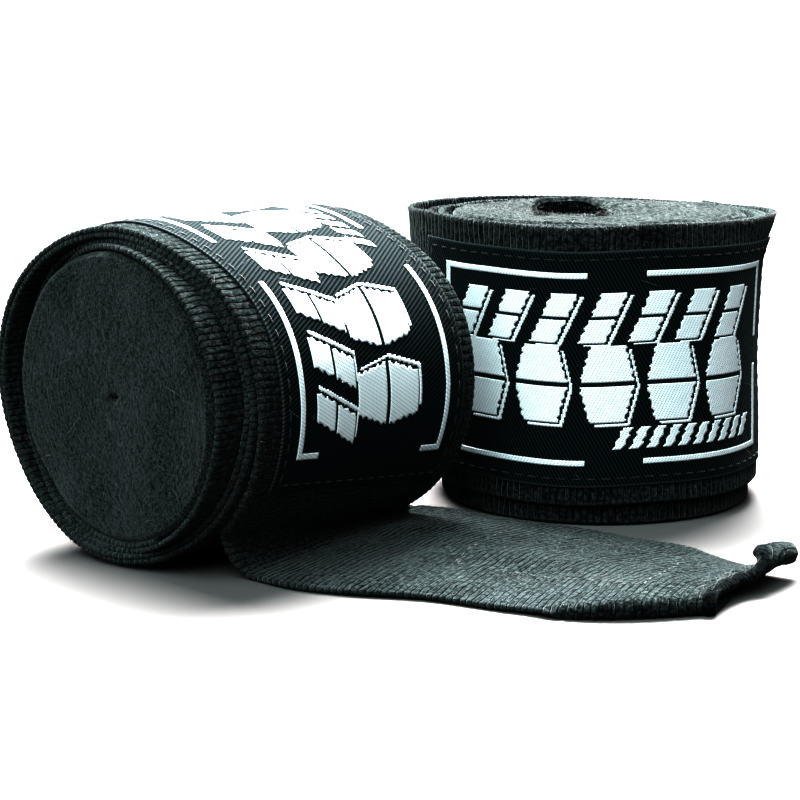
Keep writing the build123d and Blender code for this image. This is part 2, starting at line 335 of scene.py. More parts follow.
def threads(name, paths, radius, material, sides=3, taper=0.4):
    """Make closed thin threads.  paths is (count, points, 3); radius is one value or one a thread."""
    count, length = paths.shape[:2]
    heading = unit(np.gradient(paths, axis=1))
    helper = np.where(np.abs(heading[..., 2:]) < 0.9, [0.0, 0.0, 1.0], [1.0, 0.0, 0.0])
    side = unit(np.cross(heading, helper))
    lift = np.cross(heading, side)
    profile = 1 - (1 - taper) * np.abs(np.linspace(-1, 1, length)) ** 4
    size = np.broadcast_to(np.asarray(radius, float), (count,))[:, None] * profile[None]
    turn = 2 * np.pi * np.arange(sides) / sides
    around = side[:, :, None] * np.cos(turn)[:, None] + lift[:, :, None] * np.sin(turn)[:, None]
    points = paths[:, :, None] + around * size[..., None, None]
    i, j = np.meshgrid(np.arange(length - 1), np.arange(sides), indexing="ij")
    corner = [i * sides + j, i * sides + (j + 1) % sides]
    corner += [corner[1] + sides, corner[0] + sides]
    faces = [np.stack([corner[a].ravel() for a in picks], axis=1) for picks in ((0, 1, 2), (0, 2, 3))]
    fan = np.array([[0, k + 1, k] for k in range(1, sides - 1)])
    faces += [fan, fan[:, ::-1] + (length - 1) * sides]
    one = np.concatenate(faces)
    starts = np.arange(count)[:, None, None] * (length * sides)
    return make_piece(name, points.reshape(-1, 3), (one[None] + starts).reshape(-1, 3), None, material)


def steps(start, end, size):
    """Return evenly spaced values from start to end, about size apart."""
    return np.linspace(start, end, max(2, int(round(abs(end - start) / size)) + 1))


# ---------------------------------------------------------------- materials


class Shade:
    """A small builder for one node material."""

    def __init__(self, name):
        self.material = bpy.data.materials.new(name)
        self.material.use_nodes = True
        self.tree = self.material.node_tree
        self.shader = self.tree.nodes["Principled BSDF"]

    def put(self, socket, value):
        """Set a socket to a plain value, or link it to another socket."""
        if isinstance(value, bpy.types.NodeSocket):
            self.tree.links.new(value, socket)
        elif value is not None:
            socket.default_value = value

    def add(self, kind, output=0, props=None, **inputs):
        """Add a node and return one of its outputs."""
        made = self.tree.nodes.new("ShaderNode" + kind)
        for key, value in (props or {}).items():
            setattr(made, key, value)
        for key, value in inputs.items():
            self.put(made.inputs[int(key[1:]) if key[1:].isdigit() else key.replace("_", " ")], value)
        return made.outputs[output]

    def math(self, operation, a, b=None, c=None, clamp=False):
        """Add a Math node and return its value."""
        return self.add("Math", props={"operation": operation, "use_clamp": clamp}, i0=a, i1=b, i2=c)

    def ramp(self, value, low, high):
        """Return 0 below low and 1 above high."""
        eased = {"interpolation_type": "SMOOTHSTEP"}
        return self.add("MapRange", props=eased, Value=value, i1=low, i2=high)

    def colour(self, factor, first, second):
        """Return a mix of two colours or colour sockets."""
        made = self.tree.nodes.new("ShaderNodeMix")
        made.data_type = "RGBA"
        self.put(made.inputs[0], factor)
        for socket, value in zip(made.inputs[6:8], (first, second)):
            self.put(socket, (*value, 1.0) if isinstance(value, tuple) else value)
        return made.outputs[2]

    def noise(self, size, detail=2.0, rough=0.5):
        """Return noise with features about size millimetres across."""
        place = self.add("TexCoord", output=3)
        return self.add("TexNoise", Vector=place, Scale=0.6 / (size * MM), Detail=detail, Roughness=rough)

    def uv(self):
        """Return the cloth's own coordinates in millimetres: along the strip, then across it."""
        place = self.add("UVMap", props={"uv_map": "cloth"})
        split = self.add("SeparateXYZ", i0=place).node
        return split.outputs[0], split.outputs[1]

    def margin(self, across, half, low, high):
        """Return 0 in a strip's middle and 1 at its edges, eased over low to high from each edge."""
        from_middle = self.math("ABSOLUTE", self.math("SUBTRACT", across, half))
        return self.ramp(from_middle, half - low, half - high)

    def bump(self, height, depth):
        """Return a normal bumped by height, depth millimetres deep."""
        return self.add("Bump", Height=height, Distance=depth * MM)

    def set(self, **inputs):
        """Set the main shader's sockets by name."""
        for key, value in inputs.items():
            self.put(self.shader.inputs[key.replace("_", " ")], value)
        return self.material


STRIP_DARK = (0.0022, 0.0042, 0.0046)
STRIP_LIGHT = (0.048, 0.0605, 0.061)


def cloth_material(name, ribbed, dark=STRIP_DARK, light=STRIP_LIGHT, sheen=0.24, grain=0.42):
    """Return brushed elastic cotton, with its ribs where ribbed is above 0 and painted shade darkening
    their grooves.
    """
    shade = Shade(name)
    nap = shade.noise(grain, 4.0, 0.7)
    patch = shade.ramp(shade.noise(8.0, 2.0), 0.3, 0.7)
    worn = shade.math("MULTIPLY_ADD", patch, 0.2, shade.ramp(nap, 0.4, 0.62))
    tone = shade.math("MULTIPLY", worn, 0.83, clamp=True)
    height = nap
    if ribbed > 0:
        along, across = shade.uv()
        drift = shade.math("MULTIPLY", shade.math("SUBTRACT", shade.noise(2.2, 2.0), 0.5), 1.1)
        turn = shade.math("MULTIPLY", shade.math("ADD", along, drift), math.pi / RIB_PITCH)
        crest = shade.math("ABSOLUTE", shade.math("SINE", turn))
        # Painted shade: the tone darkens into the grooves between the ribs.
        painted_groove_shade = shade.math("MULTIPLY_ADD", shade.ramp(crest, 0.05, 0.6), 0.88, 0.12)
        tone = shade.math("MULTIPLY", tone, painted_groove_shade)
        rib = shade.ramp(crest, 0.0, 0.5)
        height = shade.math("MULTIPLY_ADD", rib, ribbed, shade.math("MULTIPLY", nap, 1.6))
        edge = shade.margin(across, STRIP_WIDTH / 2, 1.1, 0.2)
        tone = shade.math("ADD", tone, shade.math("MULTIPLY", edge, 0.3), clamp=True)
    fleck = shade.ramp(shade.noise(0.5, 3.0, 0.8), 0.64, 0.72)
    cloth = shade.colour(tone, dark, light)
    cloth = shade.colour(shade.math("MULTIPLY", fleck, 0.5), cloth, (0.2, 0.25, 0.255))
    return shade.set(
        Base_Color=cloth,
        Roughness=1.0,
        Specular_IOR_Level=0.03,
        Sheen_Weight=sheen,
        Sheen_Roughness=0.25,
        Sheen_Tint=(0.82, 0.93, 0.94, 1.0),
        Normal=shade.bump(height, 0.3),
    )


def twill_material():
    """Return the label's black satin twill: fine steep diagonals."""
    shade = Shade("label_twill")
    along, across = shade.uv()
    lean = shade.math("MULTIPLY_ADD", across, 0.55, along)
    diagonal = shade.math("SINE", shade.math("MULTIPLY", lean, 2 * math.pi / TWILL_PITCH))
    pick = shade.math("SINE", shade.math("MULTIPLY", across, 2 * math.pi / PICK_PITCH))
    weave = shade.math("MULTIPLY_ADD", pick, 0.25, diagonal)
    tone = shade.ramp(weave, -0.4, 1.1)
    edge = shade.margin(across, LABEL_WIDTH / 2, 0.5, 0.1)
    black = shade.colour(tone, (0.0026, 0.0062, 0.007), (0.017, 0.032, 0.036))
    return shade.set(
        Base_Color=shade.colour(shade.math("MULTIPLY", edge, 0.8), black, (0.06, 0.075, 0.078)),
        Roughness=0.8,
        Specular_IOR_Level=0.06,
        Sheen_Weight=0.1,
        Sheen_Roughness=0.3,
        Sheen_Tint=(0.8, 0.93, 0.94, 1.0),
        Normal=shade.bump(weave, 0.06),
    )


def motif_material():
    """Return the label's white satin weft, dimpled where the warp ties it down."""
    shade = Shade("label_motif")
    along, across = shade.uv()
    row = shade.math("SINE", shade.math("MULTIPLY", across, 2 * math.pi / SATIN_PITCH))
    sloped = shade.math("MULTIPLY_ADD", across, 0.5, along)
    column = shade.math("SINE", shade.math("MULTIPLY", sloped, 2 * math.pi / SATIN_PITCH))
    tie = shade.ramp(shade.math("MULTIPLY", row, column), 0.45, 0.95)
    soil = shade.ramp(shade.noise(5.0, 3.0), 0.45, 0.75)
    clean = shade.colour(shade.math("MULTIPLY", soil, 0.35), (0.74, 0.81, 0.84), (0.62, 0.7, 0.73))
    height = shade.math("SUBTRACT", 1.0, tie)
    return shade.set(
        Base_Color=shade.colour(tie, clean, (0.24, 0.28, 0.3)),
        Roughness=0.55,
        Specular_IOR_Level=0.4,
        Normal=shade.bump(height, 0.05),
    )


def thread_material(name, tone):
    """Return spun thread of a given brightness, twisted along its own length."""
    shade = Shade(name)
    fibre = shade.noise(0.12, 3.0, 0.7)
    dark = (tone * 0.5, tone * 0.58, tone * 0.6)
    light = (tone * 1.2, tone * 1.38, tone * 1.42)
    return shade.set(
        Base_Color=shade.colour(shade.ramp(fibre, 0.3, 0.7), dark, light),
        Roughness=0.8,
        Sheen_Weight=0.4,
        Sheen_Roughness=0.5,
        Normal=shade.bump(fibre, 0.05),
    )


def patch_material(name, size, tone):
    """Return hook or loop tape, with tufts of a given size."""
    shade = Shade(name)
    place = shade.add("TexCoord", output=3)
    tuft = shade.add("TexVoronoi", Vector=place, Scale=1.0 / (size * MM))
    height = shade.math("SUBTRACT", 1.0, shade.math("MULTIPLY", tuft, 1.6, clamp=True))
    dark = (tone * 0.24, tone * 0.32, tone * 0.33)
    light = (tone * 1.24, tone * 1.6, tone * 1.65)
    return shade.set(
        Base_Color=shade.colour(height, dark, light),
        Roughness=0.6,
        Normal=shade.bump(height, 0.25),
    )


# The strip's ribbed faces, and its felted edges: soft on the lying roll and coarser on the standing one.
RIBBED = cloth_material("strip_ribbed", 0.8)
FELT = cloth_material("strip_edges", 0.0, (0.0026, 0.0078, 0.008), (0.062, 0.074, 0.073), 0.36, 0.22)
WORN_FELT = cloth_material("strip_top", 0.0, (0.0026, 0.0072, 0.0076), (0.06, 0.068, 0.067), 0.3, 0.5)
TWILL = twill_material()
MOTIF = motif_material()
SEAM = thread_material("seam_thread", 0.012)
PATCH_SEAM = thread_material("patch_thread", 0.03)
LINT = thread_material("lint_fibre", 0.11)
FUZZ = thread_material("fuzz_fibre", 0.05)
HEM = cloth_material("hem_binding", 0.0, (0.003, 0.004, 0.0045), (0.014, 0.019, 0.02), 0.1)
# Painted shade: near-black cloth for the eyes' walls (material inner_turns), standing in for the shade
# inside each roll.
EYE_WALL_SHADE = cloth_material("inner_turns", 0.0, (0.002, 0.003, 0.0033), (0.006, 0.008, 0.0085), 0.05)
HOOKS = patch_material("hook_tape", 0.9, 0.009)
LOOPS = patch_material("loop_tape", 0.5, 0.012)


# ---------------------------------------------------------------- the lying roll's shape


def lying_point(angle, axial, radius):
    """Return a point about the lying roll's axis, on a section that sags a little under its weight."""
    turn = np.radians(angle)
    x = LYING_X + radius * LYING_WIDE * np.cos(turn)
    z = LYING_RADIUS * LYING_FLAT + radius * LYING_FLAT * np.sin(turn)
    return stack(x, LYING_Y + axial, z)


def winding_radius(angle):
    """Return the lying strip's middle radius, which winds inwards as its angle grows."""
    wound = LYING_MIDDLE - TURN_PITCH * (angle - LEAVE_ANGLE) / 360
    loose = LYING_LOOSE * bump(angle, 165, 90) * (angle < TURN_END_ANGLE + 360)
    return wound + loose + LYING_WOBBLE * np.sin(np.radians(angle * 3.0 + 40))


TILT_ANGLES = [0, 35, 75, 100, 140, 230, 270, 315, 360]
TURN_TILT = [5.2, 4.6, 1.8, 0.9, -1.1, -1.0, -0.5, 3.2, 5.2]


def turn_tilt(angle):
    """Return how far the outer turns' near edges stand from the roll's near end, round the roll."""
    return curve(angle % 360, TILT_ANGLES, TURN_TILT)


def rim_offset(angle):
    """Return the near edge's place along the axis for the turns between the core and the last one."""
    inner = smooth(TURN_END_ANGLE + 280, TURN_END_ANGLE + 440, angle)
    innermost = smooth(TURN_END_ANGLE + 620, TURN_END_ANGLE + 740, angle)
    outer = turn_tilt(angle)
    middle = turn_tilt(angle) - 0.4 + 4.0 * bump(angle, 165, 100)
    core = -0.1 + 3.8 * bump(angle, 165, 100)
    tilt = outer + (middle - outer) * inner
    return tilt + (core - tilt) * innermost


def rim_surface(u, v):
    """Return the middle of the turns between the core and the last one, u along the strip."""
    angle = TURN_END_ANGLE + 360 * RIM_TURNS - np.degrees(u / LYING_UNDER)
    axial = rim_offset(angle) + v + 0.25 * noise(stack(u / 9.0, 3.0), 1.0, 4)
    return lying_point(angle, axial, winding_radius(angle))


def leave_angle(v):
    """Return where the strip leaves the roll: its far edge holds on lower than its near edge."""
    return LEAVE_ANGLE - LEAVE_SLANT * v / STRIP_WIDTH


def roll_surface(u, v):
    """Return the last turn's middle, where u runs back up the roll from where the strip leaves it."""
    slant = (leave_angle(v) - LEAVE_ANGLE) * smooth(-45.0, 0.0, u)
    angle = LEAVE_ANGLE + slant - np.degrees(u / LYING_MIDDLE)
    near = turn_tilt(np.clip(angle, 0, 360)) + 0.8 * bump(angle, 0, 90)
    turn = np.radians(angle)
    uneven = noise(stack(np.cos(turn) * 12, np.sin(turn) * 12, v * 0.35), 6.0, 5)
    settle = 1 - smooth(-14.0, 0.0, u)
    return lying_point(angle, near + v, winding_radius(angle) + 0.3 * uneven * settle)


# The tail's two long edges, as pairs of a place along its heading and a place across it.
NEAR_EDGE = [
    *((-3, -0.5), (5, -3.2), (15, -2.8), (26, -0.6), (42, -1.0)),
    *((52, 1.2), (57, 3.6), (62, 7), (67, 11)),
]
FAR_EDGE = [
    *((-3, 50), (5, 51), (12, 50.2), (22, 48.2), (30, 46.8)),
    *((43, 44), (54, 41.2), (58, 38.5), (62, 35.8), (67, 34.6)),
]
LANDING = (-1.5, 6.0)
TUCK_RADIUS = 0.95
TUCKED = 11.0
CURL_TURN = 1.2
CURLED = 5.4


def tail_point(along, across, height):
    """Return a point over the floor: along the tail's heading, then across it to its far edge."""
    x = TAIL_ROOT_X + along * math.cos(TAIL_HEADING) - across * math.sin(TAIL_HEADING)
    y = TAIL_ROOT_Y + along * math.sin(TAIL_HEADING) + across * math.cos(TAIL_HEADING)
    return stack(x, y, height)


def curl_start(v):
    """Return where the tail's end starts to roll up, a little further on by its far edge."""
    return TAIL_END_AT - 1.2 + 5.0 * smooth(TUCKED, STRIP_WIDTH, v)


def tail_end(v):
    """Return the tail's length out to its hem: longer towards its far edge, where it rolls up."""
    return curl_start(v) + CURLED * smooth(24.0, 38.0, v)


def tail_surface(along, v):
    """Return the tail's middle.  Its near margin turns under and its far end corner rolls up."""
    near = curve(along, *zip(*NEAR_EDGE))
    far = curve(along, *zip(*FAR_EDGE))
    tucked = TUCKED * smooth(40.0, 67.0, along)
    past = v - tucked
    turn = np.clip(-past / TUCK_RADIUS, 0, math.pi)
    under = np.maximum(-past - math.pi * TUCK_RADIUS, 0)
    share = np.clip(past / (STRIP_WIDTH - tucked), 0, 1)
    across = near + (far - near) * share - TUCK_RADIUS * np.sin(turn) + under
    crown = 1.5 * (1 - np.abs(2 * share - 1) ** 2.6) * smooth(-2.0, 10.0, along)
    raised = 1.9 * smooth(38.0, 58.0, along) * (1 - share) ** 2
    wave = noise(stack(along, across, 2.0), 11.0, 11) + 0.5 * noise(stack(along, across, 5.0), 5.0, 12)
    ease = smooth(-2.0, 8.0, along)
    waving = 0.45 * wave * ease * np.minimum(1, 0.35 + 3 * share * (1 - share))
    height = 0.62 + crown + raised + waving - TUCK_RADIUS * (1 - np.cos(turn))
    height = np.maximum(height, 0.5)
    start = curl_start(v)
    rolled = np.maximum(along - start, 0) / CURL_TURN
    bent = np.where(along > start, start + CURL_TURN * np.sin(rolled), along)
    rise = 1.8 * smooth(20.0, 34.0, across) * smooth(start - 6, start + 1, along)
    return tail_point(bent, across, height + CURL_TURN * (1 - np.cos(rolled)) + rise)


def lying_surface(u, v):
    """Return the lying strip's middle: u < 0 on the roll, then its bend, then the tail."""
    u, v = np.broadcast_arrays(np.asarray(u, float), v)
    share = v / STRIP_WIDTH
    roll = roll_surface(np.minimum(u, 0.0), v)
    landing = LANDING[0] + (LANDING[1] - LANDING[0]) * share
    stretch = (tail_end(v) - landing) / (LYING_END - BEND_LENGTH)
    along = landing + np.maximum(u - BEND_LENGTH, 0) * stretch
    tail = tail_surface(along, v)
    turn = np.radians(leave_angle(v))
    pull = 8.0 + 4.0 * share
    leaving = stack(np.sin(turn), 0.1 + 0.0 * turn, -np.cos(turn)) * (pull * 0.72)[..., None]
    heading = np.array([math.cos(TAIL_HEADING), math.sin(TAIL_HEADING), 0.0])
    arriving = heading * (pull * 1.1)[..., None]
    t = np.clip(u / BEND_LENGTH, 0, 1)[..., None]
    bend = roll * (2 * t**3 - 3 * t**2 + 1) + leaving * (t**3 - 2 * t**2 + t)
    bend = bend + tail * (3 * t**2 - 2 * t**3) + arriving * (t**3 - t**2)
    return np.where((u <= 0)[..., None], roll, np.where((u >= BEND_LENGTH)[..., None], tail, bend))


LYING_END = BEND_LENGTH + TAIL_END_AT - LANDING[0]
LYING_START = -math.radians(TURN_END_ANGLE - LEAVE_ANGLE) * LYING_MIDDLE


# ---------------------------------------------------------------- the standing roll's shape


def standing_point(angle, height, radius):
    """Return a point about the standing roll's axis."""
    turn = np.radians(angle)
    return stack(STANDING_X + radius * np.cos(turn), STANDING_Y + radius * np.sin(turn), height)


def standing_bulge(angle, height):
    """Return how far the standing roll's side stands out or in from round."""
    side = bump(angle, 38, 50)
    waist = -0.9 * side * np.sin(np.pi * np.clip(height / STANDING_HEIGHT, 0, 1))
    flare = 2.0 * bump(angle, 34, 40) * smooth(41.0, 51.0, height)
    corner = -1.2 * bump(angle, -128, 60) * (1 - smooth(2.0, 10.0, height))
    turn = np.radians(angle)
    uneven = noise(stack(np.cos(turn) * 14, np.sin(turn) * 14, height * 0.5), 7.0, 21)
    return waist + flare + corner + 0.25 * uneven


def standing_gap(angle, height):
    """Return how far the last turn and its tab stand off at the back, more so at the top."""
    return BACK_GAP * bump(angle, 197, 75) * np.clip(height / STANDING_HEIGHT, 0, 1) ** 0.8


def standing_surface(u, v):
    """Return the last turn's middle: u round the roll from the tab's hinge, and v upwards."""
    angle = TAB_HINGE_ANGLE - 360 + np.degrees(u / STANDING_MIDDLE)
    height = STANDING_TURN_LIFT + v
    height = height + 0.5 * noise(stack(u / 16.0, 8.0), 1.0, 22) * smooth(3.0, 20.0, np.abs(u))
    dive = smooth(TAB_END_ANGLE - 22, TAB_END_ANGLE + 6, angle)
    loose = standing_gap(angle, height) * (angle < 0)
    radius = STANDING_MIDDLE + loose - 1.6 * dive
    return standing_point(angle, height, radius + standing_bulge(angle, height))


def tab_surface(u, v):
    """Return the closure tab's middle: u forward along the strip from the tab's hem to its hinge."""
    angle = TAB_END_ANGLE + np.degrees(u / STANDING_MIDDLE)
    height = STANDING_TURN_LIFT + v - 0.7 * (1 - smooth(0.0, 60.0, u))
    radius = STANDING_MIDDLE + standing_gap(angle, height)
    return standing_point(angle, height, radius + standing_bulge(angle, height))


TAB_LENGTH = math.radians(TAB_HINGE_ANGLE - TAB_END_ANGLE) * STANDING_MIDDLE
STANDING_TURN_LENGTH = math.radians(360 + TAB_END_ANGLE + TAB_OVERLAP - TAB_HINGE_ANGLE) * STANDING_MIDDLE


def closure_recess(angle):
    """Return how far the turns under the closure sink to make room for its two patches."""
    turn = angle % 360
    share = smooth(TAB_END_ANGLE - 18, TAB_END_ANGLE + 10, turn)
    return PATCH_RECESS * share * (1 - smooth(TAB_HINGE_ANGLE - 10, TAB_HINGE_ANGLE + 4, turn))


def standing_rim_surface(u, v):
    """Return the turns just inside the last one."""
    angle = TAB_END_ANGLE + TAB_OVERLAP + np.degrees(u / STANDING_UNDER)
    wound = STANDING_RADIUS - 1.5 - 0.9 * (angle - TAB_HINGE_ANGLE) / 360
    height = 0.3 + v + 0.25 * (1 + noise(stack(u / 14.0, 1.0), 1.0, 27)) * smooth(0.0, 40.0, v)
    bulge = standing_bulge(angle, height)
    share = 0.6 - 0.3 * (angle - TAB_END_ANGLE) / 360
    loose = standing_gap(angle, height) * share
    return standing_point(angle, height, wound - closure_recess(angle) + bulge + loose)


def standing_core_radius(angle):
    """Return the wound core's radius, inside the turns that are strips of their own."""
    return STANDING_CORE_RADIUS - closure_recess(angle)


# ---------------------------------------------------------------- wound cores


def slot_radius(angle, length, width, heading):
    """Return the distance from a slot's centre to its wall."""
    turn = np.radians(angle - heading)
    power = 2.6
    flat = np.abs(np.cos(turn) / (length / 2)) ** power + np.abs(np.sin(turn) / (width / 2)) ** power
    return flat ** (-1 / power)


def felt_height(radius, angle, seed, worn):
    """Return the relief of a roll's end: the wound turns' edges, felted over by handling."""
    turn = np.radians(angle)
    place = stack(radius * np.cos(turn), radius * np.sin(turn))
    wander = 0.35 * noise(place, 6.0, seed)
    winding = radius / TURN_PITCH - angle / 360 + wander
    groove = np.abs(np.sin(np.pi * winding)) ** 0.5
    felt = 0.05 * noise(place, 0.9, seed + 1) + 0.05 * noise(place, 0.5, seed + 2)
    slow = 0.35 * noise(place, 8.0, seed + 3)
    return worn * (groove - 0.7) + felt + slow


# The standing roll's side away from the camera.
BACK_HEADING = math.radians(131.0)


CORE_SIDES = 380
CORE_RINGS = 84


def core(name, place, radius, width, eye, *, pinch, seed, worn, dish, felt, lean=0.0):
    """Make a wound roll as a closed ring: felted ends, its side, and the eye's wall, painted near-black as
    painted shade for the inside of the roll.

    place(angle, axial, radius) puts a point about the axis.  eye is the slot's length, width and
    heading, and pinch is the share of it that the felt leaves open at the ends.  worn is the depth of
    the grooves between turns, and dish is how far the near end's middle sinks.  lean tips that middle
    up at the back and down at the front, and lumps it.
    """
    angle = np.linspace(360, 0, CORE_SIDES, endpoint=False)[:, None]
    share = np.linspace(0, 1, CORE_RINGS)[None]
    hole = slot_radius(angle, *eye)
    outer = radius(angle) if callable(radius) else radius + 0 * angle
    spread = hole * pinch + (outer - hole * pinch) * share
    lip = 0.8 * (1 - smooth(0.0, 1.0, spread - hole * pinch)) + 0.6 * smooth(0.96, 1.0, share)
    near = -felt_height(spread, angle, seed, worn) + lip + dish * (1 - smooth(0.0, 0.35, share))
    far = width + felt_height(spread, angle, seed + 40, worn) - lip
    turn = np.radians(angle)
    lumps = noise(stack(spread * np.cos(turn), spread * np.sin(turn), seed), 4.0, seed + 5)
    near = near - lean * (np.cos(turn - BACK_HEADING) + 0.6 * lumps) * (1 - smooth(0.0, 0.5, share))
    side = np.linspace(0, 1, 8)[None, 1:-1]
    side_axial = near[:, -1:] + (far[:, -1:] - near[:, -1:]) * side
    wall_axial = near[:, :1] + (far[:, :1] - near[:, :1]) * side
    side_radius = np.repeat(outer + 0.2, side.shape[1], axis=1)
    wall_radius = np.repeat(hole, side.shape[1], axis=1)
    axial = np.concatenate([near, side_axial, far[:, ::-1], wall_axial[:, ::-1]], axis=1)
    radii = np.concatenate([spread, side_radius, spread[:, ::-1], wall_radius], axis=1)
    angles = np.repeat(angle, radii.shape[1], axis=1)
    points = place(angles, axial, radii)
    uvs = np.zeros((*radii.shape[:1], radii.shape[1] + 1, 2))
    # The eye's wall takes the near-black cloth: painted shade for the inside of the roll.
    wall = np.zeros(radii.shape[1], int)
    wall[-wall_radius.shape[1] :] = 1
    return loft(name, points, uvs, [felt, EYE_WALL_SHADE], wrap=True, index=wall)


# The eyes' length, width and heading, and how far the standing one lies off its roll's centre.
LYING_EYE = (8.0, 2.2, 20.0)
STANDING_EYE = (13.0, 13.0, 50.0)
EYE_SHIFT = (-5.4, -5.2)
EYE_PLACE = 0.64


def upright(angle, axial, radius):
    """Place a core's point about the standing axis, its near end up and its eye off the centre."""
    height = STANDING_HEIGHT - axial
    outward = np.clip(radius / STANDING_RADIUS, 0, 1)
    place = standing_point(angle, height, radius + standing_bulge(angle, height) * outward**4)
    share = (1 - outward) ** 2
    return place + stack(share * EYE_SHIFT[0], share * EYE_SHIFT[1])


# ---------------------------------------------------------------- the label's woven motif

FRAME_LONG = 63.0
FRAME_WIDE = 31.8
FRAME_LINE = 0.95
MOTIF_CELL = 0.24
HEXAGON_TAPER = 0.36
BAR_LEAN = 0.45


def box_mask(x, y, left, right, low, high):
    """Return where points lie in a box."""
    return (x > left) & (x < right) & (y > low) & (y < high)


def frame_mask(x, y):
    """Return the broken border: four corner brackets, with gaps along each side."""
    half_x, half_y = FRAME_LONG / 2, FRAME_WIDE / 2
    outer = (np.abs(x) < half_x) & (np.abs(y) < half_y)
    inner = (np.abs(x) < half_x - FRAME_LINE) & (np.abs(y) < half_y - FRAME_LINE)
    middle_gap = np.abs(x) < 4.7
    right_gap = box_mask(x, y, 0.0, half_x + 1, -1.7, 3.0)
    left_gap = box_mask(x, y, -half_x - 1, -half_x + 3, 4.5 - half_y, half_y - 4.5)
    return outer & ~inner & ~middle_gap & ~right_gap & ~left_gap


def hexagon(x, y, tall, wide):
    """Return where points lie in a flat-topped hexagon."""
    up, across = np.abs(y) / (tall / 2), np.abs(x) / (wide / 2)
    return np.maximum(up, across + HEXAGON_TAPER * up) < 1


def slant(x, y, tall, wide):
    """Return where points lie in a leaning bar."""
    return (np.abs(y) < tall / 2) & (np.abs(x - BAR_LEAN * y) < wide / 2)


# Each row's height up the label, left end, pitch, and its shapes' height, width, count and outline.
ROWS = (
    (8.65, -29.5, 7.85, 8.2, 4.2, 7, slant),
    (-2.35, -28.0, 10.7, 12.7, 8.8, 5, hexagon),
    (-11.4, 0.0, 2.8, 3.5, 1.6, 10, slant),
)
OUTLINE_SHIFT = 0.9


def solid_rows(x, y):
    """Return where each row of shapes is filled, before it is split."""
    masks = []
    for level, left, pitch, tall, wide, count, shape in ROWS:
        mask = np.zeros(x.shape, bool)
        for place in range(count):
            mask |= shape(x - left - pitch * (place + 0.5), y - level, tall, wide)
        masks.append(mask)
    return masks


def motif_mask(x, y):
    """Return the label's white weave: the border, and rows of split shapes with thin outlines."""
    scallop = 0.16 * np.sin(2 * np.pi * y / 1.35)
    first, second, dashes = solid_rows(x + scallop, y)
    split_first = np.abs(y - ROWS[0][0]) > 0.28
    split_second = np.abs(y - ROWS[1][0]) > 0.32
    filled = (first & split_first) | (second & split_second) | dashes
    echo_first, echo_second, _ = solid_rows(x - OUTLINE_SHIFT, y + OUTLINE_SHIFT * 0.7)
    near_first, near_second, _ = solid_rows(x - OUTLINE_SHIFT * 0.45, y + OUTLINE_SHIFT * 0.3)
    outline = (echo_first & ~near_first & ~first) | (echo_second & ~near_second & ~second)
    return filled | outline | frame_mask(x, y)


def raised_cells(name, mask, place, height, material):
    """Make one closed raised mesh from a mask of cells; place(i, j, lift) gives the corners' points."""
    columns, rows = mask.shape
    used = np.argwhere(mask)
    padded = np.pad(mask, 1)
    index = {"top": 0, "low": (columns + 1) * (rows + 1)}

    def face(i, j, *corners):
        """Return quads whose corners are given as (step in i, step in j, level)."""
        return np.stack([index[level] + (i + a) * (rows + 1) + j + b for a, b, level in corners], axis=1)

    i, j = used[:, 0], used[:, 1]
    quads = [
        face(i, j, (0, 0, "top"), (1, 0, "top"), (1, 1, "top"), (0, 1, "top")),
        face(i, j, (0, 0, "low"), (0, 1, "low"), (1, 1, "low"), (1, 0, "low")),
    ]
    walls = {(-1, 0): (0, 0, 0, 1), (1, 0): (1, 1, 1, 0), (0, -1): (1, 0, 0, 0), (0, 1): (0, 1, 1, 1)}
    for (di, dj), (ai, aj, bi, bj) in walls.items():
        bare = ~padded[i + 1 + di, j + 1 + dj]
        corners = ((ai, aj, "top"), (bi, bj, "top"), (bi, bj, "low"), (ai, aj, "low"))
        quads.append(face(i[bare], j[bare], *corners))
    quads = np.concatenate(quads)
    gi, gj = np.meshgrid(np.arange(columns + 1), np.arange(rows + 1), indexing="ij")
    top, uv = place(gi, gj, height)
    low, _ = place(gi, gj, 0.0)
    points = np.concatenate([top.reshape(-1, 3), low.reshape(-1, 3)])
    flat = np.concatenate([uv.reshape(-1, 2), uv.reshape(-1, 2)])
    keep, compact = np.unique(quads, return_inverse=True)
    return make_piece(name, points[keep], compact.reshape(quads.shape), flat[quads], material)


